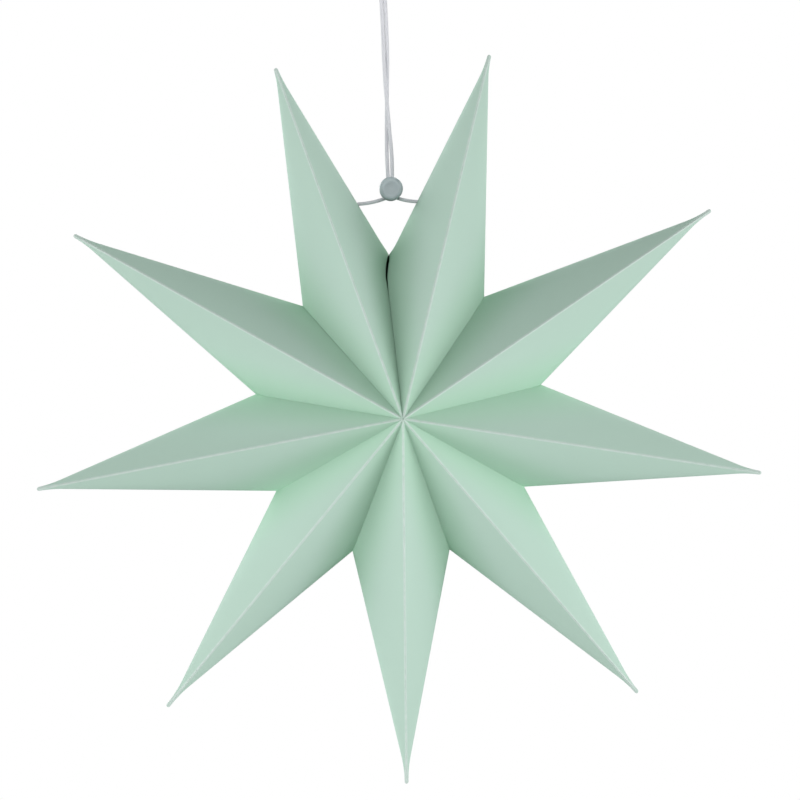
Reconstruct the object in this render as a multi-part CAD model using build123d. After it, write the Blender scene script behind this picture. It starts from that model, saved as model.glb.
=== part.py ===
from build123d import *
import math
import os

# A hanging nine-pointed folded-card star on a cord with a spring cord lock.
# Millimetres, +Z up, the front of the star faces -Y.
# Origin: the inside top of the hanging loop, where a hook bears. The star's centre lies
# straight below it, at z = -HANG. Everything is built about the star's centre and moved
# down at the end, so heights in the sections below are above that centre.
# Directions in the XZ plane are degrees counter-clockwise from +X, seen from the front.
# ray_1 is the upper left ray beside the open seam and ray_9 the upper right one.

HANG = 340.0            # hook point to star centre

# ------------------------------------------------------------------ star dimensions
TIP_R = 225.0           # star axis to the point where the four faces of a ray meet
VALLEY_R = 89.0         # star axis to the side corner between two neighbouring rays
SEAM_R = 98.0           # the same at the open seam on top
APEX_D = 68.0           # mid-plane to the centre point, front and back
CARD_T = 0.4            # card thickness

# directions of the ray tips, ray_1 to ray_9, and of the corners between them
TIP_DEG = (107.4, 148.8, 189.3, 229.2, 268.8, 308.2, 348.4, 390.9, 433.6)
VALLEY_DEG = (129.4, 169.6, 209.5, 248.7, 288.0, 327.5, 369.5, 411.9)
SEAM_DEG = 90.0

EDGE_GAP = 0.06         # a panel edge stops this far short of its crease line
SEAM_GAP = 0.2          # the same at the open seam
HUB_TRIM = 2.5          # corner cut off each panel at the centre point
TIP_TRIM = 0.6          # corner cut off each panel at the ray's tip
BACK_RELIEF = 2.5       # extra set-back of a back panel's ridge and valley edges at the
                        # centre point, falling to nothing at their outer ends
BLANK_HALF = 500.0      # half width of the square each panel is clipped from

HOLE_Z = 129.8          # height of the two cord holes
HOLE_R = 1.9
HOLE_CUT = 24.0         # length of the cutter along X

# ------------------------------------------------------------------ cord dimensions
CORD_D = 2.3
CORD_R = CORD_D / 2
CORD_X = 0.3            # x of the line midway between the strands, and of the lock's axis
STRAND_DX = 1.2         # half the spacing of the two strands
CORD_GAP = 0.1          # clear gap between the separate lengths of cord
BEND_R = 3.2            # tight turn of each cord end just under the lock
KNOT_R = 2.5
KNOT_IN = 4.6           # hole centre to knot centre, along X
KNOT_LAP = 0.1          # the cord ends this far inside the knot's ball radius
KNOT_FLAT = (0.9, 6, 6)  # block that flattens the ball where the cord arrives
GROOVE_OUT = 0.15       # centre of the groove's section outside the ball
GROOVE_R = 0.4
LOOP_R = 9.0            # inside radius of the hanging loop's top
LOOP_SPLIT = 256.0      # height where the loop's legs meet

# ------------------------------------------------------------------ lock dimensions
LOCK_Z = 137.9          # height of the lock's axis, which runs along Y
TAIL_Z = LOCK_Z - 2.1   # lower end of the twin strands, inside the lock
BARREL_R = 6.8
BARREL_FRONT = -4.2     # y of the barrel's open front
BARREL_BACK = 7.6       # y of the barrel's closed back
BARREL_BACK_FILLET = 3.6
BARREL_FRONT_FILLET = 0.8
BORE_R = 4.6
BORE_END = 5.9          # y of the bore's floor
BORE_OVERCUT = 1.0      # the bore cutter starts this far in front of the barrel
STEM_R = 4.5
STEM_END = 2.9          # y of the stem's back end
STEM_LAP = 0.5          # length of stem buried in the button head
HEAD_R = 7.15
HEAD_BACK = -7.2        # y of the underside of the button head
HEAD_FRONT = -10.6
HEAD_FRONT_FILLET = 2.2
HEAD_BACK_FILLET = 0.7
DIMPLE_R = 14.0
DIMPLE_DEPTH = 0.7
PRESS = 2.7             # travel of the button
PASSAGE_X = 2.55        # half width of the cord passage
PASSAGE_Y = 1.35        # half depth of the cord passage
PASSAGE_CUT = 20.0      # height of its cutter
PASSAGE_PLAY = 0.1      # shift of the plunger's passage walls towards the front
BARREL_CLEARANCE = 0.35  # round the cord ends in the barrel
STEM_CLEARANCE = 0.12   # round the cord ends in the plunger
SEAT_R = 3.6            # spring seat in the stem's end
SEAT_DEPTH = 0.5
COIL_R = 2.9            # spring axis to wire centre
WIRE_R = 0.45
COIL_TURNS = 2.5
SPRING_GAP = 0.05       # free space at each end of the spring


# ------------------------------------------------------------------ star geometry
def polar(radius, degrees):
    """A point on the mid-plane."""
    angle = math.radians(degrees)
    return Vector(radius * math.cos(angle), 0, radius * math.sin(angle))


TIPS = [polar(TIP_R, degrees) for degrees in TIP_DEG]
SEAM = polar(SEAM_R, SEAM_DEG)
# ray k (0 to 8) lies between corner k on its right and corner k + 1 on its left,
# left being its counter-clockwise side
CORNERS = [SEAM, *(polar(VALLEY_R, degrees) for degrees in VALLEY_DEG), SEAM]


def three_planes(point1, normal1, point2, normal2, point3, normal3):
    """The point shared by three planes, each given by a point and a normal."""
    total = (
        normal2.cross(normal3) * point1.dot(normal1)
        + normal3.cross(normal1) * point2.dot(normal2)
        + normal1.cross(normal2) * point3.dot(normal3)
    )
    return total * (1.0 / normal1.dot(normal2.cross(normal3)))


def clip(polygon, point, inward):
    """The part of a polygon on the inward side of a line through point."""
    kept = []
    for i, start in enumerate(polygon):
        end = polygon[(i + 1) % len(polygon)]
        start_in = (start - point).dot(inward)
        end_in = (end - point).dot(inward)
        if start_in >= 0:
            kept.append(start)
        if (start_in >= 0) != (end_in >= 0):
            kept.append(start + (end - start) * (start_in / (start_in - end_in)))
    return kept


def outward_normal(apex, tip, corner):
    """Unit normal of a panel's outer face, pointing out of the star."""
    normal = (tip - apex).cross(corner - apex).normalized()
    inside = tip * 0.5
    return normal * -1.0 if normal.dot(inside - apex) > 0 else normal


def panel_outline(k, side, face):
    """Inner-face polygon and outward normal of a panel. The outer face lies on the plane
    through the centre point, the ray's tip and the side corner."""
    apex = Vector(0, -APEX_D if face == "front" else APEX_D, 0)
    tip = TIPS[k]
    corner, other_corner = CORNERS[k], CORNERS[k + 1]
    if side == "left":
        corner, other_corner = other_corner, corner
    normal = outward_normal(apex, tip, corner)
    other_normal = outward_normal(apex, tip, other_corner)
    mid_normal = Vector(0, 1, 0)

    # the same three points on the inner faces
    apex_in = apex - normal * CARD_T
    other_apex_in = apex - other_normal * CARD_T
    corner_in = corner - normal * CARD_T
    tip_in = three_planes(
        apex_in, normal, other_apex_in, other_normal, Vector(0, 0, 0), mid_normal
    )
    middle = (apex + tip + corner) * (1.0 / 3.0) - normal * CARD_T

    along = (tip - apex).normalized() * BLANK_HALF
    across = normal.cross(along)
    polygon = [
        middle + along * i + across * j for i, j in ((-1, -1), (1, -1), (1, 1), (-1, 1))
    ]

    relief = BACK_RELIEF if face == "back" else 0.0
    valley_gap = SEAM_GAP if corner is SEAM else EDGE_GAP
    # point on the edge, its direction, gap, lean
    edges = (
        (tip_in, normal.cross(other_normal), EDGE_GAP, relief / (tip - apex).length),
        (tip_in, normal.cross(mid_normal), EDGE_GAP, 0.0),
        (corner_in, corner - apex, valley_gap, relief / (corner - apex).length),
    )
    for point, direction, gap, lean in edges:
        direction = direction.normalized()
        inward = normal.cross(direction)
        if inward.dot(middle - point) < 0:
            inward = inward * -1.0
        # lean the edge in about its outer end, so that it is set back most at the centre point
        to_apex = direction if direction.dot(apex - point) > 0 else direction * -1.0
        inward = (inward - to_apex * lean).normalized()
        polygon = clip(polygon, point + inward * gap, inward)

    from_hub = ((tip + corner) * 0.5 - apex).normalized()
    polygon = clip(polygon, apex_in + from_hub * HUB_TRIM, from_hub)
    from_tip = ((apex + corner) * 0.5 - tip_in).normalized()
    polygon = clip(polygon, tip_in + from_tip * TIP_TRIM, from_tip)
    return polygon, normal


def hole_x(sign):
    """x of the cord hole left (-1) or right (1) of the seam, on the ray's side crease."""
    tip = TIPS[0 if sign < 0 else -1]
    return tip.X + (SEAM.X - tip.X) * (tip.Z - HOLE_Z) / (tip.Z - SEAM.Z)


def largest_solid(shape):
    return max(shape.solids(), key=lambda solid: solid.volume)


def panel(k, side, face):
    """One of the four stiff card panels of a ray, with its part of a cord hole at the seam."""
    polygon, normal = panel_outline(k, side, face)
    card = Solid.extrude(Face(Wire.make_polygon(polygon, close=True)), normal * CARD_T)
    if (k, side) in ((0, "right"), (8, "left")):
        x = hole_x(-1 if k == 0 else 1)
        card = largest_solid(card - Plane((x, 0, HOLE_Z), z_dir=(1, 0, 0)) * Cylinder(HOLE_R, HOLE_CUT))
    return card


# ------------------------------------------------------------------ cord
# Here sign is -1 for the left cord end and 1 for the right one.
def round_cord(path, radius):
    """A round cord along a chain of arcs, each starting where the last one ended."""
    ring = Plane(origin=path[0] @ 0, z_dir=path[0] % 0) * Circle(radius)
    return sweep(ring, path=Wire(path)).solid()


def arc_chain(start, heading, bends):
    """Tangent arcs in the XZ plane from start (x, z). Each bend is a radius and a turn in
    degrees, counter-clockwise positive."""
    x, z = start
    path = []
    for radius, turn in bends:
        reach = math.copysign(radius, turn)
        angle = math.radians(heading)
        centre_x = x - reach * math.sin(angle)
        centre_z = z + reach * math.cos(angle)
        points = []
        for part in (0.0, 0.5, 1.0):
            turned = angle + math.radians(turn) * part
            points.append(
                (centre_x + reach * math.sin(turned), 0, centre_z - reach * math.cos(turned))
            )
        path.append(ThreePointArc(*points))
        x, _, z = points[-1]
        heading += turn
    return path


def strand_path(sign):
    """Centre line of one cord end: down out of the lock, then out to its hole and knot in one
    long arc that arrives level."""
    start_x, start_z = CORD_X + sign * STRAND_DX, TAIL_Z - CORD_GAP
    end_x = hole_x(sign) + sign * (KNOT_IN - KNOT_R + KNOT_LAP)
    # iterate to the slope below level, in degrees, where the tight bend meets the long arc
    slope = 20.0
    for _ in range(60):
        angle = math.radians(slope)
        run = abs(end_x - start_x) - BEND_R * (1 - math.sin(angle))
        drop = (start_z - HOLE_Z) - BEND_R * math.cos(angle)
        slope = 2 * math.degrees(math.atan2(drop, run))
    long_r = math.hypot(run, drop) / (2 * math.sin(math.radians(slope) / 2))
    bends = ((BEND_R, sign * (90 - slope)), (long_r, sign * slope))
    return arc_chain((start_x, start_z), -90, bends)


def knot(sign):
    """A stopper knot: a ball flattened towards the hole, with a groove in the XZ plane."""
    ball = Sphere(KNOT_R)
    ball = ball - Pos(-sign * KNOT_R, 0, 0) * Box(*KNOT_FLAT)
    ball = ball - Rot(90, 0, 0) * Torus(KNOT_R + GROOVE_OUT, GROOVE_R)
    return Pos(hole_x(sign) + sign * KNOT_IN, 0, HOLE_Z) * ball


def cord_tail():
    """The two strands that run side by side from inside the lock up to the hanging loop."""
    strand = Cylinder(CORD_R, LOOP_SPLIT - TAIL_Z)
    middle_z = (TAIL_Z + LOOP_SPLIT) / 2
    return Compound(
        [(Pos(CORD_X + sign * STRAND_DX, 0, middle_z) * strand).solid() for sign in (-1, 1)]
    )


def cord_loop():
    """The hanging loop: legs that part from the twin strands in an S, and the arc over the hook."""
    top_r = LOOP_R + CORD_R
    start_z = LOOP_SPLIT + CORD_GAP
    rise = HANG - LOOP_R - start_z

    def s_bend(sign):
        wide = top_r - sign * CORD_X - STRAND_DX
        turn = 2 * math.degrees(math.atan2(wide, rise))
        radius = rise / (2 * math.sin(math.radians(turn)))
        return [(radius, -sign * turn), (radius, sign * turn)]

    bends = s_bend(1) + [(top_r, 90), (top_r, 90)] + s_bend(-1)
    return round_cord(arc_chain((CORD_X + STRAND_DX, start_z), 90, bends), CORD_R)


# ------------------------------------------------------------------ cord lock
def y_cylinder(radius, y0, y1):
    """A cylinder between two depths, on the lock's axis."""
    middle = Plane((CORD_X, (y0 + y1) / 2, LOCK_Z), z_dir=(0, 1, 0))
    return middle * Cylinder(radius, y1 - y0)


def round_rim(body, end, radius):
    """Fillet the frontmost (end 0) or rearmost (end -1) circular edge."""
    return fillet(body.edges().filter_by(GeomType.CIRCLE).group_by(Axis.Y)[end], radius)


def cord_passage(y0, y1):
    """Cutter for the upright passage of both strands, between two depths."""
    return Pos(CORD_X, (y0 + y1) / 2, LOCK_Z) * Box(2 * PASSAGE_X, y1 - y0, PASSAGE_CUT)


def lock_barrel():
    body = y_cylinder(BARREL_R, BARREL_FRONT, BARREL_BACK)
    body = round_rim(body, -1, BARREL_BACK_FILLET)
    body = round_rim(body, 0, BARREL_FRONT_FILLET)
    body = body - y_cylinder(BORE_R, BARREL_FRONT - BORE_OVERCUT, BORE_END)
    body = body - cord_passage(-PASSAGE_Y, PASSAGE_Y)
    # room for both cord ends to turn aside under the lock
    for sign in (-1, 1):
        body = body - round_cord(strand_path(sign), CORD_R + BARREL_CLEARANCE)
    return largest_solid(body)


def lock_plunger():
    stem = y_cylinder(STEM_R, HEAD_BACK - STEM_LAP, STEM_END)
    head = y_cylinder(HEAD_R, HEAD_FRONT, HEAD_BACK)
    head = round_rim(head, 0, HEAD_FRONT_FILLET)
    head = round_rim(head, -1, HEAD_BACK_FILLET)
    body = stem + head
    # thumb dimple in the button
    dimple_y = HEAD_FRONT - (DIMPLE_R - DIMPLE_DEPTH)
    body = body - Pos(CORD_X, dimple_y, LOCK_Z) * Sphere(DIMPLE_R)
    # the passage allows for the button's travel: its back wall pinches the strands
    # against the barrel when the button is out
    body = body - cord_passage(-PASSAGE_Y - PRESS - PASSAGE_PLAY, PASSAGE_Y - PASSAGE_PLAY)
    # room for the cord ends with the button out, half in and fully in
    for sign in (-1, 1):
        for travel in (0.0, PRESS / 2, PRESS):
            cutter = round_cord(strand_path(sign), CORD_R + STEM_CLEARANCE)
            body = body - Pos(0, -travel, 0) * cutter
    # spring seat
    body = body - y_cylinder(SEAT_R, STEM_END - SEAT_DEPTH, STEM_END + SEAT_DEPTH)
    return largest_solid(body)


def lock_spring():
    """A short helical spring between the plunger's seat and the bore's floor."""
    y0 = STEM_END - SEAT_DEPTH + SPRING_GAP
    height = BORE_END - SPRING_GAP - y0 - 2 * WIRE_R
    coil = Helix(pitch=height / COIL_TURNS, height=height, radius=COIL_R)
    ring = Plane(origin=coil @ 0, z_dir=coil % 0) * Circle(WIRE_R)
    wire = sweep(ring, path=coil, is_frenet=True)
    return Pos(CORD_X, y0 + WIRE_R, LOCK_Z) * (Rot(-90, 0, 0) * wire)


# ------------------------------------------------------------------ all pieces
def build_all():
    nodes = {}
    for k in range(len(TIP_DEG)):
        for face in ("front", "back"):
            for side in ("left", "right"):
                nodes[f"ray_{k + 1}_{face}_{side}"] = panel(k, side, face)
    nodes["cord_loop"] = cord_loop()
    nodes["cord_tail"] = cord_tail()
    for sign, side in ((-1, "left"), (1, "right")):
        nodes[f"cord_end_{side}"] = round_cord(strand_path(sign), CORD_R)
        nodes[f"knot_{side}"] = knot(sign)
    nodes["lock_barrel"] = lock_barrel()
    nodes["lock_plunger"] = lock_plunger()
    nodes["lock_spring"] = lock_spring()
    return nodes


if __name__ == "__main__":
    os.makedirs("parts", exist_ok=True)
    for name, shape in build_all().items():
        export_step(Pos(0, 0, -HANG) * shape, os.path.join("parts", f"{name}.step"))
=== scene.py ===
# A nine-rayed star of folded mint card. It hangs from a doubled white cord with a spring-loaded
# cord lock. The cord's two ends pass through the sides of the seam at the top and are knotted
# inside. Front is -Y, left is -X as seen from the front, +Z is up, and the star's mid-plane is
# y = 0. Lengths are in mm unless a comment says otherwise; MM turns them into metres.
import math

import bpy
import numpy as np
from mathutils import Matrix, Vector


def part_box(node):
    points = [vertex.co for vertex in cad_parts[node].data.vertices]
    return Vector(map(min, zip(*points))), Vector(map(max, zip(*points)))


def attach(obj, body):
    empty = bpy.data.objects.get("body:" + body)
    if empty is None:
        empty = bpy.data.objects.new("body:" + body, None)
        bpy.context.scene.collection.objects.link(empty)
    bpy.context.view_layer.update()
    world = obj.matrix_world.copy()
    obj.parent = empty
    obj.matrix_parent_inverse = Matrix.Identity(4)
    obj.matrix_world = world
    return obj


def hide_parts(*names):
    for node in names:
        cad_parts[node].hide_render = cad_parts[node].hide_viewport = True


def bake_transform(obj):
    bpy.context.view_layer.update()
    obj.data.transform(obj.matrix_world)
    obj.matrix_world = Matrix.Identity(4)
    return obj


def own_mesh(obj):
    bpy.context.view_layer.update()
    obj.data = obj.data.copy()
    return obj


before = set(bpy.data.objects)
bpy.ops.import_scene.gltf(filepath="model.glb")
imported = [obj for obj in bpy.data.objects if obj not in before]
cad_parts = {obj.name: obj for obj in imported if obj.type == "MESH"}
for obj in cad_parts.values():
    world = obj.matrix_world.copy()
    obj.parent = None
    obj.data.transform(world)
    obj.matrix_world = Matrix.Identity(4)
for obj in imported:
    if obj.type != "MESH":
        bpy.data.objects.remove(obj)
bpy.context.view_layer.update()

MM = 0.001
RAYS = range(1, 10)
FACES = ("front", "back")
SIDES = ("left", "right")

# ---------------------------------------------------------------- sizes of the card
CARD_THICKNESS = 0.4
HUB_R = 0.36               # the sheets start this far from the star's centre
BEND_POWER = 4.0           # 2 spreads the bend evenly falling, more gathers it at the side
CREASE_COLUMNS = np.array([0, 0.25, 0.5, 0.8, 1.2, 1.8, 2.8])  # distances from the ridge
PLAIN_COLUMNS_START, PLAIN_COLUMNS = 4.5, 26
CREASE_DROP, CREASE_REACH = 0.16, 0.55  # how far the ridge is rounded off, and over what width

# The nib is the blunt end of a ray; it reaches this far past the point where its planes meet.
NIB_REACH = {1: -0.4, 2: 1.9, 3: 1.6, 4: 4.9, 5: 3.7, 6: 2.5, 7: 2.1, 8: 4.3, 9: 1.9}
NIB_WIDTH, NIB_DEPTH = 1.25, 0.72       # halves
NIB_WIDTH_BLEND, NIB_DEPTH_BLEND = 1.6, 1.3
NOSE_LENGTH = 1.5                       # rounded end of the nib
NIB_START = 0.085                       # fraction of the ray's length left where the nib begins
MAIN_ROWS, NIB_ROWS = 46, 21

# At the open seam the two free edges lean to the left together and part a little at the top:
# x of each edge at these heights above the star's centre.
SEAM_HEIGHTS = (0, 40, 76, 84, 91, 98, 110)
SEAM_EDGE = {
    (9, "left"): (-0.05, -2.2, -4.35, -4.4, -3.4, -1.7, 1.0),
    (1, "right"): (-0.1, -2.3, -4.55, -5.6, -5.0, -3.3, -2.2),
}
# Behind, and where they turn round the side, the two edges touch along this line.
SEAM_SHUT = (-0.08, -2.25, -4.4, -4.5, -3.9, -2.6, -0.8)
SEAM_CLEARANCE = {"left": -0.3, "right": -0.015}
SEAM_AJAR_WIDTH = 0.14                  # fraction of the section over which the edges part
SEAM_CORNER = {(9, "left"): (-1.5, 0.0), (1, "right"): (-2.9, 0.3)}  # x and z shift
SEAM_FADE_TOP, SEAM_FADE = 105, 9       # the lean ends at this height, over this length

# ---------------------------------------------------------------- sizes of the cord and lock


def box_mm(name):
    """Low and high corners of a frame piece."""
    return np.array(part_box(name), float) / MM


TAIL_LO, TAIL_HI = box_mm("cord_tail")
CORD_R = (TAIL_HI[1] - TAIL_LO[1]) / 2
CORD_X = (TAIL_LO[0] + TAIL_HI[0]) / 2
STRAND_X = (TAIL_HI[0] - TAIL_LO[0]) / 2 - CORD_R   # from the pair's axis to each strand
BRAID_REPEAT = 2.4
BRAID_CARRIERS = 6
LEAD_BEND_R = 3.2
LEAD_R = CORD_R * 0.96

HOLE_Z = box_mm("cord_end_left")[0][2] + CORD_R
HOLE_R = 1.75
PUNCH_LENGTH, PUNCH_START = 60, 0.5     # the hole's cutter, and where it starts from x = 0

# The two strands between the lock and the loop's foot make half a turn.
STRAND_STATIONS = (
    # height above the star's centre, turn in degrees, factor on the spacing, drift in x
    (120, 180, 1.0, 0.0),
    (145, 180, 1.08, -0.15),
    (156, 180, 1.26, -0.05),
    (174.7, 133, 1.0, -0.25),
    (199, 68, 1.0, -0.25),
    (226, 0, 0.99, 0.2),
    (300, 0, 1.0, 0.0),
)

KNOT_R = 0.94                           # of the cord in the knot
KNOT_SCALE, KNOT_HALF_LENGTH = 0.47, 0.86
KNOT_POINTS, KNOT_AROUND = 160, 16
KNOT_STEP = 0.2                         # distance along the cord from ring to ring

WIRE_R = 0.42
SPRING_TURNS = 2.5


# ---------------------------------------------------------------- helpers
def unit(vectors):
    return vectors / np.linalg.norm(vectors, axis=-1, keepdims=True)


def mesh_object(name, verts, faces, **attributes):
    """A smooth-shaded object from vertices in metres, with one float a vertex per attribute."""
    mesh = bpy.data.meshes.new(name)
    mesh.from_pydata([tuple(v) for v in verts], [], [tuple(f) for f in faces])
    mesh.validate(clean_customdata=False)
    for key, values in attributes.items():
        attribute = mesh.attributes.new(key, "FLOAT", "POINT")
        attribute.data.foreach_set("value", np.asarray(values, np.float32))
    mesh.polygons.foreach_set("use_smooth", [True] * len(mesh.polygons))
    mesh.update()
    return link(bpy.data.objects.new(name, mesh))


def link(ob):
    bpy.context.scene.collection.objects.link(ob)
    return ob


def stand_in(ob, rides, replaces):
    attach(ob, rides)
    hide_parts(replaces)


def smooth_max(a, b, blend):
    """Maximum of a and b, rounded over a width."""
    share = np.clip(0.5 + 0.5 * (a - b) / blend, 0, 1)
    return b * (1 - share) + a * share + blend * share * (1 - share)


# ---------------------------------------------------------------- the star's planes (metres)
def outer_plane(name, centre):
    """Outward unit normal and a point of a flat card panel's outer face."""
    sheets = {}
    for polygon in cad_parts[name].data.polygons:
        normal = np.array(polygon.normal, float)
        key = tuple(round(n, 3) for n in normal)
        sheet = sheets.setdefault(key, [0.0, normal, np.array(polygon.center, float)])
        sheet[0] += polygon.area
    largest = sorted(sheets.values(), key=lambda s: -s[0])[:2]
    _, normal, point = max(largest, key=lambda s: float((s[2] - centre) @ s[1]))
    return normal, point


def meet(*planes):
    """The point shared by three planes, each (normal, point)."""
    normals = np.array([normal for normal, _ in planes])
    return np.linalg.solve(normals, np.array([normal @ point for normal, point in planes]))


front_boxes = [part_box(f"ray_{k}_front_left") for k in RAYS]
rough_z = (min(b[0][2] for b in front_boxes) + max(b[1][2] for b in front_boxes)) / 2
ROUGH_CENTRE = np.array([0.0, 0.0, rough_z])
PLANE = {
    (k, face, side): outer_plane(f"ray_{k}_{face}_{side}", ROUGH_CENTRE)
    for k in RAYS for face in FACES for side in SIDES
}
MID_PLANE = (np.array([0.0, 1.0, 0.0]), np.zeros(3))
HUB = {face: meet(*(PLANE[k, face, "left"] for k in (1, 4, 7))) for face in FACES}
CENTRE = (HUB["front"] + HUB["back"]) / 2
HALF_DEPTH = float(np.linalg.norm(HUB["front"] - CENTRE)) / MM
TIP = {k: meet(PLANE[k, "front", "left"], PLANE[k, "front", "right"], MID_PLANE) for k in RAYS}

# A ray's left side meets the next ray's right side in a valley; ray 9 meets ray 1 at the seam.
CORNER = {}
for k in RAYS:
    following = k % 9 + 1
    valley = meet(PLANE[k, "front", "left"], PLANE[following, "front", "right"], MID_PLANE)
    for key in ((k, "left"), (following, "right")):
        CORNER[key] = valley
        if key in SEAM_CORNER:
            shift_x, shift_z = SEAM_CORNER[key]
            CORNER[key] = valley + np.array([shift_x, 0, shift_z]) * MM


# ---------------------------------------------------------------- card sheets
# Seen along a ray, a sheet is bent from its ridge round to the mid-plane, which it crosses
# squarely. It is straight from the ray's tip outwards, so it is a cone through the tip.
def card_section(depth, width):
    """The section from the ridge (depth, 0) to the mid-plane (0, width).

    Returns its y and z at even steps of arc, and its length.
    """
    run = np.linspace(0, 1, 4001)
    step = 1 / (len(run) - 1)
    bend = 1 - (1 - run) ** BEND_POWER

    def integral(values):
        return np.concatenate([[0], np.cumsum((values[1:] + values[:-1]) / 2 * step)])

    low, high = 0.0, math.pi
    for _ in range(60):
        turn = (low + high) / 2
        y = integral(np.cos(turn * bend))
        z = integral(np.sin(turn * bend))
        if z[-1] * depth < width * y[-1]:
            low = turn
        else:
            high = turn
    length = depth / y[-1]
    arc = (1 - run[::-1]) * length
    even = np.linspace(0, length, 400)
    y_even = np.interp(even, arc, y[::-1] * length)
    z_even = np.interp(even, arc, width - z[::-1] * length)
    return y_even, z_even, length


def row_places(reach, start, end):
    """Distance along the ray of each row and column; start is each column's first fraction."""
    t = 1 - (1 - np.linspace(0, 1, MAIN_ROWS)[:, None]) ** 1.15
    main = reach * (1 - (start * (1 - t) + NIB_START * t))
    t = 1 - (1 - np.linspace(0, 1, NIB_ROWS + 1)[1:, None]) ** 1.7
    nib = main[-1] + (end - main[-1]) * t
    return np.concatenate([main, nib])


def surface_normals(points):
    """Outward normals of a sheet's smooth surface, square to y at the mid-plane."""
    normals = unit(np.cross(np.gradient(points, axis=0), np.gradient(points, axis=1)))
    facing = np.sign((normals[..., 1:] * points[..., 1:]).sum(-1, keepdims=True))
    normals *= np.where(facing == 0, 1, facing)
    normals[:, -1, 1] = 0
    return unit(normals)


def lean_seam(world, k, face, side, columns):
    """Moves a seam sheet's free edge to where it lies; the shift dies away to the ridge."""
    corner, tip = CORNER[k, side] - CENTRE, TIP[k] - CENTRE
    x = (world[..., 0] - CENTRE[0]) / MM
    height = np.maximum((world[..., 2] - CENTRE[2]) / MM, 0.5)
    ajar = np.clip((1 - columns) / SEAM_AJAR_WIDTH, 0, 1)[None, :] if face == "front" else 0.0
    shut_x = np.interp(height, SEAM_HEIGHTS, SEAM_SHUT) + SEAM_CLEARANCE[side]
    open_x = np.interp(height, SEAM_HEIGHTS, SEAM_EDGE[k, side])
    target_x = shut_x + ajar * (open_x - shut_x)
    edge_x = height * corner[0] / corner[2]
    ridge_x = height * tip[0] / tip[2]
    toward_ridge = np.clip((x - edge_x) / (ridge_x - edge_x), 0, 1)
    fade = np.clip((SEAM_FADE_TOP - height) / SEAM_FADE, 0, 1)
    leaned = world.copy()
    leaned[..., 0] += (target_x - edge_x) * (1 - toward_ridge) ** 1.6 * fade * MM
    return leaned


def sheet_faces(rows, columns):
    """Faces of the outer grid, the inner grid that follows it, and the rim between them."""
    count = rows * columns
    grid = np.arange(count).reshape(rows, columns)
    faces = []
    for i in range(rows - 1):
        for j in range(columns - 1):
            quad = (grid[i, j], grid[i + 1, j], grid[i + 1, j + 1], grid[i, j + 1])
            faces.append(quad)
            faces.append(tuple(count + corner for corner in quad[::-1]))
    rim = np.concatenate([grid[:, 0], grid[-1, 1:], grid[-2::-1, -1], grid[0, -2:0:-1]])
    for a, b in zip(rim, np.roll(rim, -1)):
        faces.append((b, a, count + a, count + b))
    return faces


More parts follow.
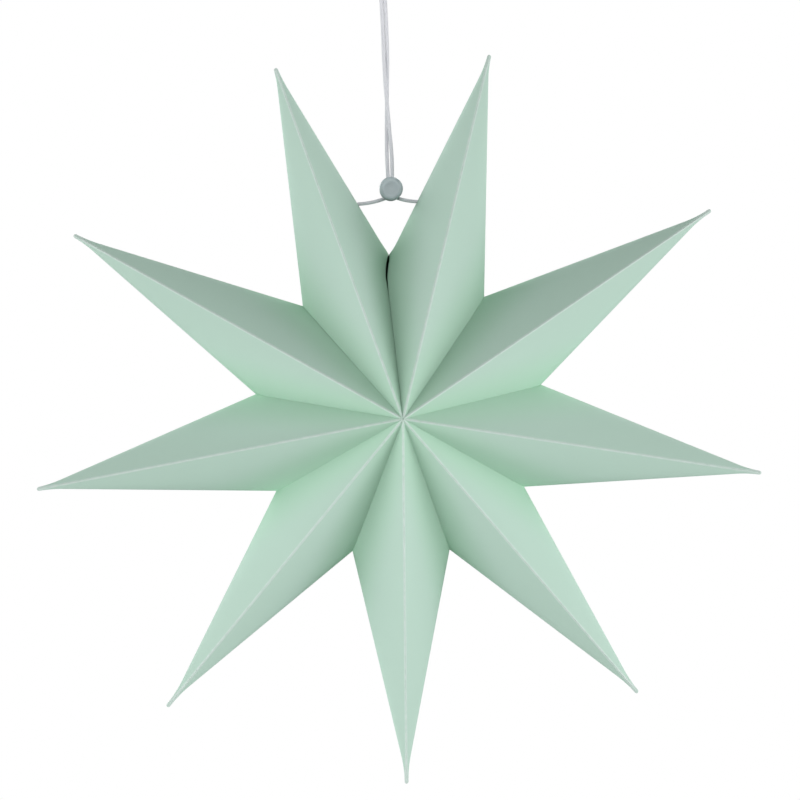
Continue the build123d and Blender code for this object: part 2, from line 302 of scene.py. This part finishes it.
def card_sheet(k, face, side):
    """One of a ray's four sheets, built with x along the ray, y outwards and z across."""
    tip, corner = TIP[k] - CENTRE, CORNER[k, side] - CENTRE
    along = unit(tip)
    outward = unit(HUB[face] - CENTRE)
    across = unit(corner - (corner @ along) * along)
    axes = np.array([along, outward, across])
    reach = float(np.linalg.norm(tip)) / MM
    corner_x, corner_z = float(corner @ along) / MM, float(corner @ across) / MM
    width = corner_z / (1 - corner_x / reach)     # of the cone, at the star's centre
    y_section, z_section, length = card_section(HALF_DEPTH, width)

    # columns run from the ridge to the mid-plane, close together at the rounded crease
    plain = np.linspace(PLAIN_COLUMNS_START / length, 1, PLAIN_COLUMNS)
    columns = np.unique(np.concatenate([CREASE_COLUMNS / length, plain]))
    even = np.linspace(0, 1, len(y_section))
    y_column = np.interp(columns, even, y_section)
    z_column = np.interp(columns, even, z_section)

    # cone is 1 at the star's centre and 0 at the ray's tip
    cut = reach * corner_z / corner_x
    start = np.minimum(cut / (z_column + cut), 1 - HUB_R / reach)
    end = reach + NIB_REACH[k]
    x = row_places(reach, start, end)
    cone = (reach - x) / reach
    nose = np.clip((end - x) / NOSE_LENGTH, 0, 1)
    nose = np.sqrt(np.clip(1 - (1 - nose) ** 2, 0, 1))
    half_width = smooth_max(cone * width, NIB_WIDTH, NIB_WIDTH_BLEND) * (0.22 + 0.78 * nose)
    half_depth = smooth_max(cone * HALF_DEPTH, NIB_DEPTH, NIB_DEPTH_BLEND) * (0.55 + 0.45 * nose)
    points = np.stack([x, half_depth * y_column / HALF_DEPTH, half_width * z_column / width], -1)
    normals = surface_normals(points)

    # the inner face is mitred on the ridge plane, and the ridge itself is rounded off a little
    ridge_out = unit(normals[:, 0] * (1, 1, 0))
    mitre = CARD_THICKNESS / np.clip((normals[:, 0] * ridge_out).sum(-1), 0.3, 1)
    inner = points - normals * CARD_THICKNESS
    inner[:, 0] = points[:, 0] - ridge_out * mitre[:, None]
    inner[..., 1:] = np.maximum(inner[..., 1:], 0)
    inner[:, 0, 2] = 0
    arc = columns * length
    drop = CREASE_DROP * np.exp(-(arc / CREASE_REACH) ** 2) * np.clip(cone * 8, 0, 1)
    outer = points - ridge_out[:, None, :] * drop[..., None]

    verts = []
    for grid in (outer, inner):
        world = CENTRE + MM * (grid @ axes)
        if (k, side) in SEAM_EDGE:
            world = lean_seam(world, k, face, side, columns)
        verts.append(world.reshape(-1, 3))
    verts = np.concatenate(verts)

    faces = sheet_faces(*x.shape)
    a, b, c = (verts[i] for i in faces[0][:3])
    if np.cross(b - a, c - a) @ (normals[0, 0] @ axes) < 0:
        faces = [f[::-1] for f in faces]
    # places on the sheet: from the ridge, from the free edge, from the valley, along the ray
    return mesh_object(
        f"card_{k}_{face}_{side}", verts, faces,
        ridge_mm=np.tile((arc * cone).reshape(-1), 2),
        edge_mm=np.tile(((length - arc) * cone).reshape(-1), 2),
        valley_mm=np.tile((x - x[0]).reshape(-1), 2),
        reach_mm=np.tile(x.reshape(-1), 2),
        inside=np.repeat([0, 1], x.size),
    )


def punch(ob, toward_x):
    """Cuts the cord's hole through a sheet on one side of x = 0."""
    bpy.ops.mesh.primitive_cylinder_add(
        vertices=40, radius=HOLE_R * MM, depth=PUNCH_LENGTH * MM,
        location=(toward_x * (PUNCH_LENGTH / 2 + PUNCH_START) * MM, 0, HOLE_Z * MM),
        rotation=(0, math.pi / 2, 0),
    )
    cutter = bpy.context.object
    hole = ob.modifiers.new("hole", "BOOLEAN")
    hole.operation = "DIFFERENCE"
    hole.object = cutter
    hole.solver = "EXACT"
    bpy.context.view_layer.update()
    depsgraph = bpy.context.evaluated_depsgraph_get()
    punched = bpy.data.meshes.new_from_object(ob.evaluated_get(depsgraph))
    ob.modifiers.remove(hole)
    whole = ob.data
    ob.data = punched
    bpy.data.meshes.remove(whole)
    bpy.data.objects.remove(cutter)


# ---------------------------------------------------------------- shader helpers
class Shader:
    """The emptied node tree of a material or world, with short ways to add nodes."""

    def __init__(self, owner):
        owner.use_nodes = True
        self.tree = owner.node_tree
        self.tree.nodes.clear()

    def feed(self, node, inputs):
        """Links or sets a node's inputs, given by name or number."""
        for socket, value in inputs.items():
            if isinstance(value, bpy.types.NodeSocket):
                self.tree.links.new(value, node.inputs[socket])
            else:
                node.inputs[socket].default_value = value

    def add(self, kind, inputs=None, **settings):
        node = self.tree.nodes.new("ShaderNode" + kind)
        for key, value in settings.items():
            setattr(node, key, value)
        self.feed(node, inputs or {})
        return node

    def object_place(self):
        return self.add("TexCoord").outputs["Object"]

    def attribute(self, name):
        return self.add("Attribute", attribute_name=name).outputs["Fac"]

    def maths(self, operation, *values):
        return self.add("Math", dict(enumerate(values)), operation=operation).outputs[0]

    def noise(self, place, scale, detail, roughness=0.55):
        inputs = {"Scale": scale, "Detail": detail, "Roughness": roughness, "Vector": place}
        return self.add("TexNoise", inputs).outputs["Fac"]

    def ramp(self, value, span, to=(0.0, 1.0)):
        """Carries a span of values smoothly over to another."""
        inputs = {0: value, 1: span[0], 2: span[1], 3: to[0], 4: to[1]}
        return self.add("MapRange", inputs, interpolation_type="SMOOTHSTEP").outputs[0]

    def mix(self, colour, other, by):
        inputs = {"Factor": by, 6: colour, 7: other}
        return self.add("Mix", inputs, data_type="RGBA", blend_type="MIX").outputs[2]

    def bump(self, height, strength, distance):
        """Distance is in metres."""
        inputs = {"Strength": strength, "Distance": distance, "Height": height}
        return self.add("Bump", inputs).outputs[0]


def new_material(name):
    """A material with its shader and its Principled node."""
    material = bpy.data.materials.new(name)
    shader = Shader(material)
    output = shader.add("OutputMaterial")
    principled = shader.add("BsdfPrincipled")
    shader.feed(output, {0: principled.outputs[0]})
    return material, shader, principled


# ---------------------------------------------------------------- materials
def card_material():
    material, shader, principled = new_material("mint_card")
    mint, cloudy, fibrous = (0.593, 0.803, 0.69, 1), (0.54, 0.75, 0.63, 1), (0.68, 0.84, 0.76, 1)
    # the deeper green is painted reflected light near the valleys
    # the pale colour is worn crease fibres with a painted highlight
    painted_valley_bounce, bare_and_highlight = (0.457, 0.80, 0.544, 1), (0.78, 0.90, 0.85, 1)
    place = shader.object_place()
    fibre = shader.noise(place, scale=900.0, detail=3.0, roughness=0.6)
    cloud = shader.noise(place, scale=60.0, detail=4.0)
    ridge = shader.attribute("ridge_mm")
    colour = shader.mix(mint, cloudy, by=shader.ramp(cloud, span=(0.35, 0.65), to=(0.0, 0.05)))
    colour = shader.mix(colour, fibrous, by=shader.ramp(fibre, span=(0.3, 0.7), to=(0.0, 0.06)))
    # painted reflected light: the colour is made a deeper green near the valleys, where the card
    # faces its neighbour and green light would pass between them
    valley = shader.attribute("valley_mm")
    colour = shader.mix(colour, painted_valley_bounce, by=shader.ramp(valley, span=(0.0, 55.0), to=(0.42, 0.0)))
    # worn, slightly cracked fibres along the ridge crease, and a painted highlight where the
    # rounded crease catches the light
    crease_wear_and_highlight = shader.ramp(ridge, span=(0.5, 1.6), to=(0.8, 0.0))
    cracks = shader.noise(place, scale=260.0, detail=3.0)
    cracks = shader.ramp(cracks, span=(0.3, 0.6), to=(0.6, 1.0))
    colour = shader.mix(colour, bare_and_highlight, by=shader.maths("MULTIPLY", crease_wear_and_highlight, cracks))
    grain = shader.noise(place, scale=1400.0, detail=5.0, roughness=0.6)
    shader.feed(principled, {
        "Base Color": colour,
        "Roughness": 0.72,
        "Specular IOR Level": 0.3,
        "Normal": shader.bump(grain, strength=0.12, distance=0.00012),
    })
    return material


def cord_material():
    material, shader, principled = new_material("white_cord")
    shadow, white = (0.66, 0.675, 0.71, 1), (0.75, 0.76, 0.80, 1)
    dull, bright = (0.66, 0.67, 0.70, 1), (0.86, 0.86, 0.89, 1)
    filaments, filament_lean = 46, 9.0      # number around, and radians per mm along
    maths = shader.maths
    along, turn = shader.attribute("along_mm"), shader.attribute("turn")
    phase = maths("MULTIPLY", along, 2 * math.pi / BRAID_REPEAT)
    angle = maths("MULTIPLY", turn, 2 * math.pi * BRAID_CARRIERS)
    one_way = maths("COSINE", maths("ADD", angle, phase))
    other_way = maths("COSINE", maths("SUBTRACT", angle, phase))

    # fine filaments of the yarn, which lean with whichever carrier is on top
    def filament(operation):
        around = maths("MULTIPLY", turn, 2 * math.pi * filaments)
        lean = maths("MULTIPLY", along, filament_lean)
        return maths("SINE", maths(operation, around, lean))

    over = maths("GREATER_THAN", one_way, other_way)
    lean_one = filament("ADD")
    lean_other = filament("SUBTRACT")
    choice = {0: over, 2: lean_other, 3: lean_one}
    fine = shader.add("Mix", choice, data_type="FLOAT").outputs[0]
    raised = shader.ramp(maths("MAXIMUM", one_way, other_way), span=(-0.2, 0.75))
    cloud = shader.noise(shader.object_place(), scale=240.0, detail=3.0)
    colour = shader.mix(shadow, white, by=raised)
    colour = shader.mix(colour, dull, by=shader.ramp(cloud, span=(0.35, 0.7), to=(0.0, 0.12)))
    colour = shader.mix(colour, bright, by=shader.ramp(fine, span=(-1, 1), to=(0.0, 0.06)))
    raised_share, fine_share = 0.6, 0.18    # of the relief
    relief = maths("ADD", maths("MULTIPLY", raised, raised_share),
                   maths("MULTIPLY", fine, fine_share))
    shader.feed(principled, {
        "Base Color": colour,
        "Roughness": 0.55,
        "Sheen Weight": 0.25,
        "Sheen Roughness": 0.4,
        "Normal": shader.bump(relief, strength=0.5, distance=0.00012),
    })
    return material


def lock_material(name, tint):
    """Milky moulded plastic that scatters light, with a fine mould texture."""
    material, shader, principled = new_material(name)
    shade = tuple(0.86 * v for v in tint[:3]) + (1,)
    place = shader.object_place()
    cloud = shader.noise(place, scale=180.0, detail=3.0)
    colour = shader.mix(tint, shade, by=shader.ramp(cloud, span=(0.3, 0.7), to=(0.0, 0.35)))
    polish = shader.noise(place, scale=900.0, detail=4.0)
    texture = shader.ramp(polish, span=(0.3, 0.7), to=(0.34, 0.5))
    grain = shader.noise(place, scale=2600.0, detail=4.0)
    shader.feed(principled, {
        "Base Color": colour,
        "Roughness": texture,
        "IOR": 1.49,
        "Transmission Weight": 0.15,
        "Subsurface Weight": 0.5,
        "Subsurface Radius": (0.002, 0.002, 0.002),
        "Normal": shader.bump(grain, strength=0.25, distance=0.00006),
    })
    return material


def steel_material():
    material, shader, principled = new_material("spring_wire")
    dark, light = (0.55, 0.56, 0.58, 1), (0.68, 0.69, 0.71, 1)
    stripes = shader.noise(shader.object_place(), scale=1500.0, detail=2.0)
    shader.feed(principled, {
        "Base Color": shader.mix(dark, light, by=shader.ramp(stripes, span=(0.3, 0.7))),
        "Metallic": 1.0,
        "Roughness": shader.ramp(stripes, span=(0.3, 0.7), to=(0.22, 0.36)),
    })
    return material


def floor_material():
    material, shader, principled = new_material("floor_paint")
    grey, pale = (0.80, 0.80, 0.79, 1), (0.86, 0.86, 0.86, 1)
    cloud = shader.noise(shader.object_place(), scale=3.0, detail=4.0)
    cloud = shader.ramp(cloud, span=(0.3, 0.7), to=(0.0, 0.25))
    shader.feed(principled, {"Base Color": shader.mix(grey, pale, by=cloud), "Roughness": 0.9})
    return material


# ---------------------------------------------------------------- the star
card = card_material()
for (k, face, side), (normal, point) in PLANE.items():
    sheet = card_sheet(k, face, side)
    if (k, side) in SEAM_EDGE:
        # ray 9's left side lies right of the seam, ray 1's right side lies left of it
        punch(sheet, toward_x=1 if side == "left" else -1)
    sheet.data.set_sharp_from_angle(angle=math.radians(40))
    sheet.data.materials.append(card)
    body = f"ray_{k}_{face}_{side}"
    stand_in(sheet, rides=body, replaces=body)
    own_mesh(sheet)


# ---------------------------------------------------------------- cord and wire shapes
def rings(points, radius, angles, first, second):
    """Circles of vertices (metres) about points, in the planes of two sets of unit vectors."""
    cosine, sine = np.cos(angles)[None, :, None], np.sin(angles)[None, :, None]
    circles = points[:, None] + radius * (cosine * first[:, None] + sine * second[:, None])
    return circles.reshape(-1, 3) * MM


def ring_faces(count, around, closed=False):
    """Quads between neighbouring rings; closed joins the last ring to the first."""
    faces = []
    for i in range(count if closed else count - 1):
        here, there = i * around, (i + 1) % count * around
        for j in range(around):
            j2 = (j + 1) % around
            faces.append((here + j, here + j2, there + j2, there + j))
    return faces


def tube(path, radius, around=28, pitch=0.3, braid=0.02):
    """A closed braided tube along a path; braid is the relief as a fraction of the radius.

    Returns vertices, faces, and each vertex's distance along and turn around.
    """
    path = np.asarray(path, float)
    steps = np.linalg.norm(np.diff(path, axis=0), axis=1)
    walked = np.concatenate([[0], np.cumsum(steps)])
    count = max(int(walked[-1] / pitch), 8)
    along = np.linspace(0, walked[-1], count)
    points = np.stack([np.interp(along, walked, path[:, i]) for i in range(3)], 1)
    tangents = unit(np.gradient(points, axis=0))
    start = np.array([0.0, 1.0, 0.0] if abs(tangents[0][1]) < 0.9 else [1.0, 0.0, 0.0])
    first = [unit(start - (start @ tangents[0]) * tangents[0])]
    for tangent in tangents[1:]:
        first.append(unit(first[-1] - (first[-1] @ tangent) * tangent))
    first = np.array(first)
    second = np.cross(tangents, first)

    angles = np.linspace(0, 2 * math.pi, around, endpoint=False)
    angle_grid, along_grid = np.meshgrid(angles, along)
    phase = 2 * math.pi / BRAID_REPEAT * along_grid
    one_way = np.cos(BRAID_CARRIERS * angle_grid + phase)
    other_way = np.cos(BRAID_CARRIERS * angle_grid - phase)
    relief = np.maximum(one_way, other_way) * 0.5 + 0.25 * (one_way + other_way)
    braided = radius * (1 - braid) + radius * braid * relief
    wall = rings(points, braided[..., None], angles, first, second)

    # each end is closed by a fan about a middle vertex
    verts = np.concatenate([wall, points[[0, -1]] * MM])
    faces = ring_faces(count, around)
    start_cap, end_cap = len(wall), len(wall) + 1
    last = (count - 1) * around
    for j in range(around):
        j2 = (j + 1) % around
        faces.append((start_cap, j2, j))
        faces.append((end_cap, last + j, last + j2))
    along_all = np.append(along_grid.reshape(-1), [0.0, along[-1]])
    turn_all = np.append((angle_grid / (2 * math.pi)).reshape(-1), [0.0, 0.0])
    return verts, faces, along_all, turn_all


def cord_object(name, parts):
    """One object from parts of cord, each (vertices, faces, along, turn)."""
    verts, faces, along, turn = [], [], [], []
    for part_verts, part_faces, part_along, part_turn in parts:
        start = len(verts)
        verts.extend(part_verts)
        faces += [tuple(i + start for i in f) for f in part_faces]
        along.extend(part_along)
        turn.extend(part_turn)
    return mesh_object(name, verts, faces, along_mm=along, turn=turn)


def arc_xz(start, heading, radius, turn, count=40):
    """An arc in the XZ plane, in degrees, counter-clockwise seen from the front.

    Returns its points, and the place and heading at its end.
    """
    x, z = start
    hand = 1 if turn > 0 else -1
    angle = math.radians(heading)
    centre_x = x - hand * radius * math.sin(angle)
    centre_z = z + hand * radius * math.cos(angle)
    angles = angle + np.radians(turn) * np.linspace(0, 1, count)
    points = np.stack([
        centre_x + hand * radius * np.sin(angles),
        np.zeros(count),
        centre_z - hand * radius * np.cos(angles),
    ], 1)
    return points, (points[-1][0], points[-1][2]), heading + turn


def join_arcs(arcs):
    return np.concatenate([arc[:-1] for arc in arcs] + [arcs[-1][-1:]])


# ---------------------------------------------------------------- the cord
def cord_strands():
    """The two strands that hang side by side and make half a turn about each other."""
    bottom, top = TAIL_LO[2], TAIL_HI[2]
    heights, turns, spreads, drifts = np.array(STRAND_STATIONS).T
    z = np.linspace(bottom, top, 260)
    window = np.hanning(29) / np.hanning(29).sum()

    def softened(values):
        at_z = np.interp(z, float(CENTRE[2]) / MM + heights, values)
        return np.convolve(np.pad(at_z, 14, mode="edge"), window, mode="valid")

    # spacing and drift fade out over the top 12 mm and the bottom 6 mm
    fade = np.clip((top - z) / 12, 0, 1) * np.clip((z - bottom) / 6, 0, 1)
    angle = softened(np.radians(turns))
    half = STRAND_X * (1 + (softened(spreads) - 1) * fade)
    middle = CORD_X + softened(drifts) * fade
    parts = []
    for sign in (-1, 1):
        x, y = middle + sign * half * np.cos(angle), sign * half * np.sin(angle)
        parts.append(tube(np.stack([x, y, z], 1), CORD_R))
    return cord_object("cord_strands", parts)


def cord_loop():
    """The loop at the top: up the right leg, over a half circle and down the left leg."""
    low, high = box_mm("cord_loop")
    loop_r = (high[0] - low[0]) / 2 - CORD_R
    foot_z = low[2] - 0.1
    rise = high[2] - CORD_R - loop_r - foot_z
    arcs = []
    at, heading = (CORD_X + STRAND_X, foot_z), 90
    for sign in (1, -1):
        # each leg is an S of two equal arcs
        widening = loop_r - sign * CORD_X - STRAND_X
        turn = 2 * math.degrees(math.atan2(widening, rise))
        radius = rise / (2 * math.sin(math.radians(turn)))
        for part in (-turn, turn):
            points, at, heading = arc_xz(at, heading, radius, sign * part)
            arcs.append(points)
        if sign > 0:
            points, at, heading = arc_xz(at, heading, loop_r, turn=180, count=80)
            arcs.append(points)
    return cord_object("cord_hanging_loop", [tube(join_arcs(arcs), CORD_R)])


def cord_lead(name, sign):
    """A cord end: a tight bend out of the hanging cord, then a shallow arc to the level."""
    low, high = box_mm(f"cord_end_{name}")
    inner_x, outer_x = (high[0], low[0]) if sign < 0 else (low[0], high[0])
    start_x = inner_x + sign * CORD_R
    start_z, end_z = high[2], low[2] + CORD_R
    # settle the slope in degrees at which the bend hands over to the shallow arc
    slope = 20.0
    for _ in range(60):
        angle = math.radians(slope)
        run = abs(outer_x - start_x) - LEAD_BEND_R * (1 - math.sin(angle))
        drop = (start_z - end_z) - LEAD_BEND_R * math.cos(angle)
        slope = 2 * math.degrees(math.atan2(drop, run))
    shallow_r = math.hypot(run, drop) / (2 * math.sin(math.radians(slope) / 2))
    bend, at, heading = arc_xz((start_x, start_z), -90, LEAD_BEND_R, sign * (90 - slope))
    shallow, _, _ = arc_xz(at, heading, shallow_r, sign * slope)
    return cord_object(f"cord_lead_{name}", [tube(join_arcs([bend, shallow]), LEAD_R)])


def cord_knot(name, sign):
    """A tight overhand knot in the cord, with its short cut tail."""
    x, y, z = box_mm(f"knot_{name}").mean(0)
    t = np.linspace(0, 2 * math.pi, KNOT_POINTS, endpoint=False)
    points = np.stack([
        x + sign * KNOT_HALF_LENGTH * np.sin(3 * t),
        y + KNOT_SCALE * (np.sin(t) + 2 * np.sin(2 * t)),
        z + KNOT_SCALE * (np.cos(t) - 2 * np.cos(2 * t)),
    ], 1)
    tangents = unit(np.roll(points, -1, 0) - np.roll(points, 1, 0))
    first = points - points.mean(0)
    first = unit(first - (first * tangents).sum(1, keepdims=True) * tangents)
    second = np.cross(tangents, first)
    angles = np.linspace(0, 2 * math.pi, KNOT_AROUND, endpoint=False)
    body = (
        rings(points, KNOT_R, angles, first, second),
        ring_faces(KNOT_POINTS, KNOT_AROUND, closed=True),
        np.repeat(np.arange(KNOT_POINTS) * KNOT_STEP, KNOT_AROUND),
        np.tile(angles / (2 * math.pi), KNOT_POINTS),
    )
    # the tail lies 0.5 behind the knot's middle and sinks as it runs outwards
    tail_path = [(x + sign * out, y + 0.5, z - 0.4 - 0.1 * out)
                 for out in np.linspace(0.4, 3.8, 12)]
    tail = tube(tail_path, KNOT_R * 0.95, around=16, pitch=0.4, braid=0.03)
    return cord_object(f"cord_knot_{name}", [body, tail])


def lock_spring():
    """Wire wound round Y between the lock's plunger and barrel; it rides with the barrel."""
    low, high = box_mm("lock_spring")
    middle = (low + high) / 2
    coil_r = (high[0] - low[0]) / 2 - WIRE_R
    front, back = low[1] + WIRE_R, high[1] - WIRE_R
    t = np.linspace(0, 1, 200)
    angle = 2 * math.pi * SPRING_TURNS * t
    coil = np.stack([
        middle[0] + coil_r * np.cos(angle),
        front + (back - front) * t,
        middle[2] + coil_r * np.sin(angle),
    ], 1)
    verts, faces, _, _ = tube(coil, WIRE_R, around=14, braid=0.0)
    ob = mesh_object("spring_coil", verts, faces)
    stand_in(ob, rides="lock_barrel", replaces="lock_spring")
    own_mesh(ob)
    return ob


END_SIGNS = {"left": -1, "right": 1}
END_BODIES = {"left": "cord_tail", "right": "cord_end_right"}
strands = cord_strands()
loop = cord_loop()
leads = {name: cord_lead(name, sign) for name, sign in END_SIGNS.items()}
spring = lock_spring()
knots = {name: cord_knot(name, sign) for name, sign in END_SIGNS.items()}
cord = cord_material()
for ob in (strands, loop, *leads.values(), *knots.values()):
    ob.data.materials.append(cord)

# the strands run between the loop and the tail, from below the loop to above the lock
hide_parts("cord_tail")
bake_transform(strands)
stand_in(loop, rides="cord_loop", replaces="cord_loop")
for name, body in END_BODIES.items():
    stand_in(leads[name], rides=body, replaces=f"cord_end_{name}")
    stand_in(knots[name], rides=body, replaces=f"knot_{name}")

# ---------------------------------------------------------------- the cord lock
LOCK_PLASTICS = (
    # frame piece, material, tint
    ("lock_barrel", "lock_body_plastic", (0.52, 0.60, 0.615, 1)),
    ("lock_plunger", "lock_button_plastic", (0.50, 0.585, 0.60, 1)),
)
for name, material_name, tint in LOCK_PLASTICS:
    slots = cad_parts[name].data.materials
    slots.clear()
    slots.append(lock_material(material_name, tint))
spring.data.materials.append(steel_material())

# ---------------------------------------------------------------- floor and world (metres)
FLOOR_R = 1.0
FLOOR_BELOW_CENTRE = 0.56
bpy.ops.mesh.primitive_circle_add(
    vertices=128, radius=FLOOR_R, fill_type="NGON",
    location=(0, 0, float(CENTRE[2]) - FLOOR_BELOW_CENTRE),
)
floor = bpy.context.object
floor.name = "floor"
floor.data.materials.append(floor_material())
floor.visible_diffuse = False
floor.visible_shadow = False


def studio_world():
    """White to the camera, nearly dark as a light."""
    world = bpy.data.worlds.new("studio")
    bpy.context.scene.world = world
    shader = Shader(world)
    output = shader.add("OutputWorld")
    light = shader.add("Background", {0: (1, 1, 1, 1), 1: 0.03})
    seen = shader.add("Background", {0: (1, 1, 1, 1), 1: 1.0})
    camera_ray = shader.add("LightPath").outputs["Is Camera Ray"]
    inputs = {0: camera_ray, 1: light.outputs[0], 2: seen.outputs[0]}
    shader.feed(output, {0: shader.add("MixShader", inputs).outputs[0]})


studio_world()


# ---------------------------------------------------------------- lights
def toward(azimuth, elevation):
    """Unit vector from the star: azimuth from the front towards the right, in degrees."""
    a, e = math.radians(azimuth), math.radians(elevation)
    return Vector((math.sin(a) * math.cos(e), -math.cos(a) * math.cos(e), math.sin(e)))


def far_softbox(name, azimuth, elevation, strength):
    """A broad soft source far from the star."""
    light = bpy.data.lights.new(name, "SUN")
    light.energy = strength
    light.angle = math.radians(32)
    ob = link(bpy.data.objects.new(name, light))
    ob.rotation_euler = toward(azimuth, elevation).to_track_quat("Z", "Y").to_euler()
    return ob


def near_softbox(name, azimuth, elevation, power, distance, size, receivers):
    """A round softbox near the star, which falls off across it; distances in metres."""
    light = bpy.data.lights.new(name, "AREA")
    light.energy = power
    light.shape = "DISK"
    light.size = size
    ob = link(bpy.data.objects.new(name, light))
    direction = toward(azimuth, elevation)
    ob.location = Vector(CENTRE) + direction * distance
    ob.rotation_euler = direction.to_track_quat("Z", "Y").to_euler()
    ob.visible_camera = False
    ob.light_linking.receiver_collection = receivers


LIGHT_LEVEL = 1.22      # scales the far and near softboxes together
NEAR_POWER = 4.0        # watts of a near softbox of share 1
# azimuth, elevation, strength
FAR_LIGHTS = (
    (67.5, -40, 0.617), (-67.5, -40, 0.621), (75, 10, 0.797),
    (-75, 10, 0.429), (-60, 35, 0.402), (30, 60, 0.479),
)
# azimuth, elevation, share of NEAR_POWER
NEAR_LIGHTS = ((-65, -15, 0.178), (-65, 15, 0.211), (-40, -45, 0.313), (65, -15, 0.521))

# the near softboxes leave out the floor, so that it stays evenly lit
not_floor = bpy.data.collections.new("all_but_floor")
not_floor.objects.link(floor)
not_floor.collection_objects[0].light_linking.link_state = "EXCLUDE"

for i, (azimuth, elevation, strength) in enumerate(FAR_LIGHTS):
    far_softbox(f"far_{i}", azimuth, elevation, strength * LIGHT_LEVEL)
for i, (azimuth, elevation, share) in enumerate(NEAR_LIGHTS):
    power = NEAR_POWER * share * LIGHT_LEVEL
    near_softbox(f"near_{i}", azimuth, elevation, power, distance=0.95, size=0.7,
                 receivers=not_floor)
# two from behind, so that the star's back is lit as well
far_softbox("back_left", azimuth=-140, elevation=20, strength=0.9)
far_softbox("back_right", azimuth=150, elevation=30, strength=0.8)
# one from the front for the hanging cord and its lock alone
lit = bpy.data.collections.new("cord_and_lock")
lock_pieces = [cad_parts[name] for name in ("lock_barrel", "lock_plunger")]
for ob in (strands, loop, *leads.values(), *lock_pieces):
    lit.objects.link(ob)
cord_light = far_softbox("cord_light", azimuth=0, elevation=12, strength=0.97)
cord_light.light_linking.receiver_collection = lit


# ---------------------------------------------------------------- camera
def add_camera(azimuth, elevation, roll, distance, shift, lens):
    """Looks at a point shifted from the star's centre; angles in degrees, lengths in mm."""
    camera = bpy.data.cameras.new("camera")
    ob = link(bpy.data.objects.new("camera", camera))
    back = toward(azimuth, elevation)
    level = math.radians(azimuth)
    right = Vector((math.cos(level), math.sin(level), 0))
    up = right.cross(-back)
    tilt = math.radians(roll)
    rolled_right = math.cos(tilt) * right + math.sin(tilt) * up
    rolled_up = -math.sin(tilt) * right + math.cos(tilt) * up
    matrix = Matrix((rolled_right, rolled_up, back)).transposed().to_4x4()
    matrix.translation = Vector(CENTRE) + (back * distance + Vector(shift)) * MM
    ob.matrix_world = matrix
    camera.sensor_width = 36.0
    camera.lens = lens
    camera.clip_start = 0.01
    bpy.context.scene.camera = ob


add_camera(azimuth=-1.73, elevation=1.92, roll=-2.32, distance=1200.0, shift=(0.7, 0, 8.8),
           lens=87.84)
bpy.context.scene.view_settings.view_transform = "Standard"
bpy.context.scene.view_settings.look = "None"
